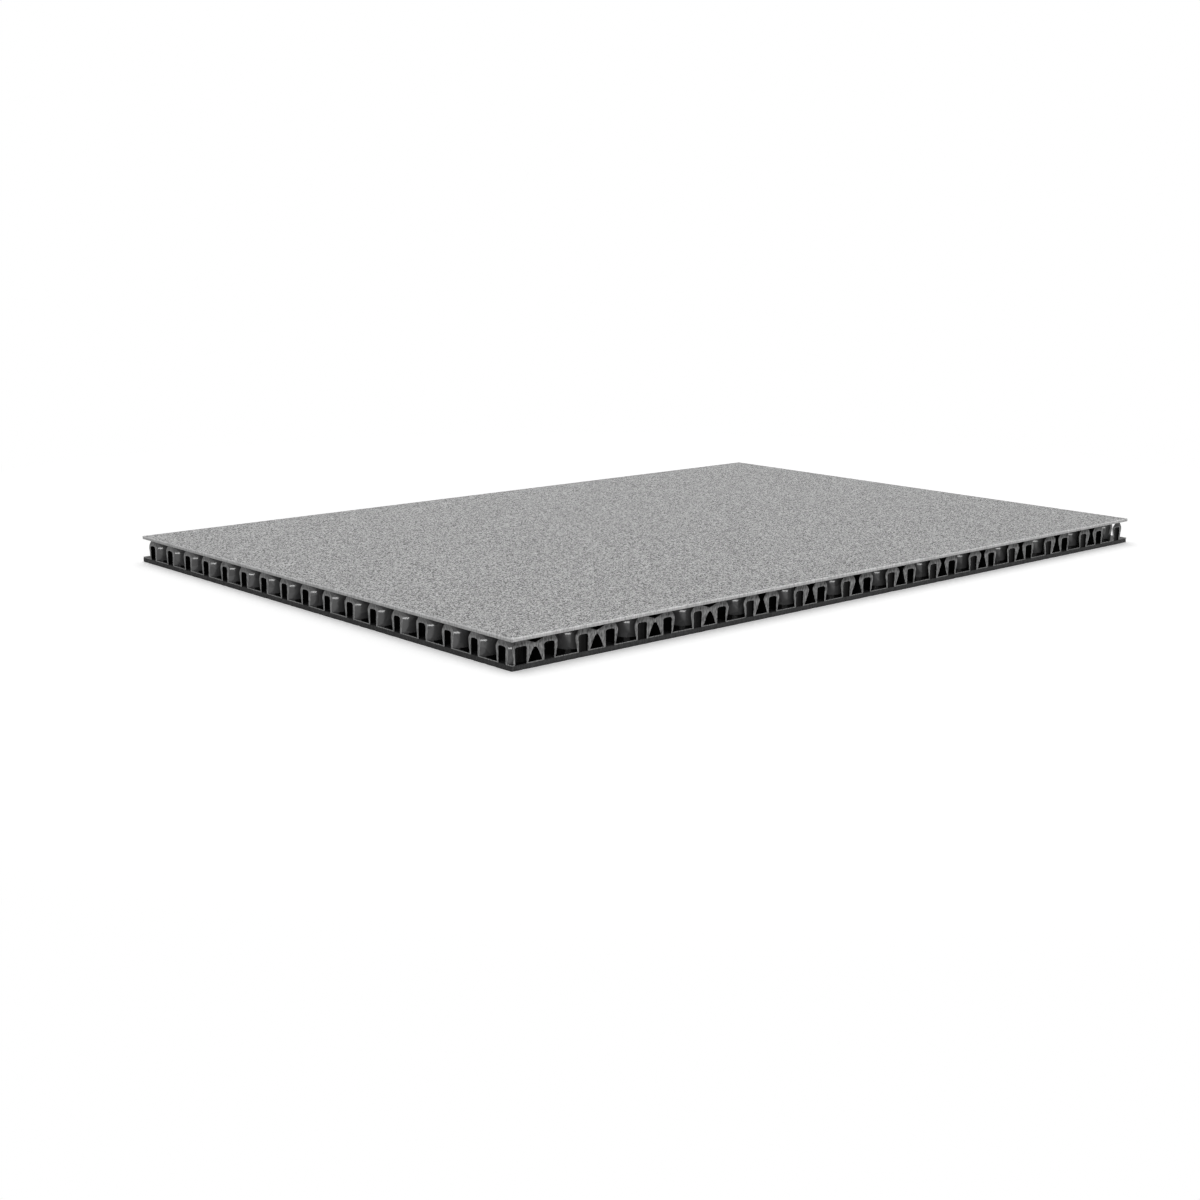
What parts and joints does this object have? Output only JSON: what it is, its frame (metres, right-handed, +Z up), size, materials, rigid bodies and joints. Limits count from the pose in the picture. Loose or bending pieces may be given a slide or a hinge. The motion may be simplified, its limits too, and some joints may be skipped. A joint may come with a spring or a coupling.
{
  "type": "sandwich panel",
  "caption": "Rectangular polypropylene sandwich panel: two flat sheet skins over a film core drawn into rows of round cups.",
  "frame": {"origin": "middle of the underside of the bottom skin", "axes": "+X along the longest edge, +Y across the panel, +Z up through its thickness, from the black skin to the grey one"},
  "size_m": [0.3, 0.2, 0.0091],
  "materials": {
    "grey_skin": "fine matte grain",
    "black_film": "smooth drawn film",
    "black_skin": "fine matte grain"
  },
  "bodies": {
    "root": {"top_skin": "grey_skin", "cup_core": "black_film", "bottom_skin": "black_skin"}
  },
  "joints": []
}
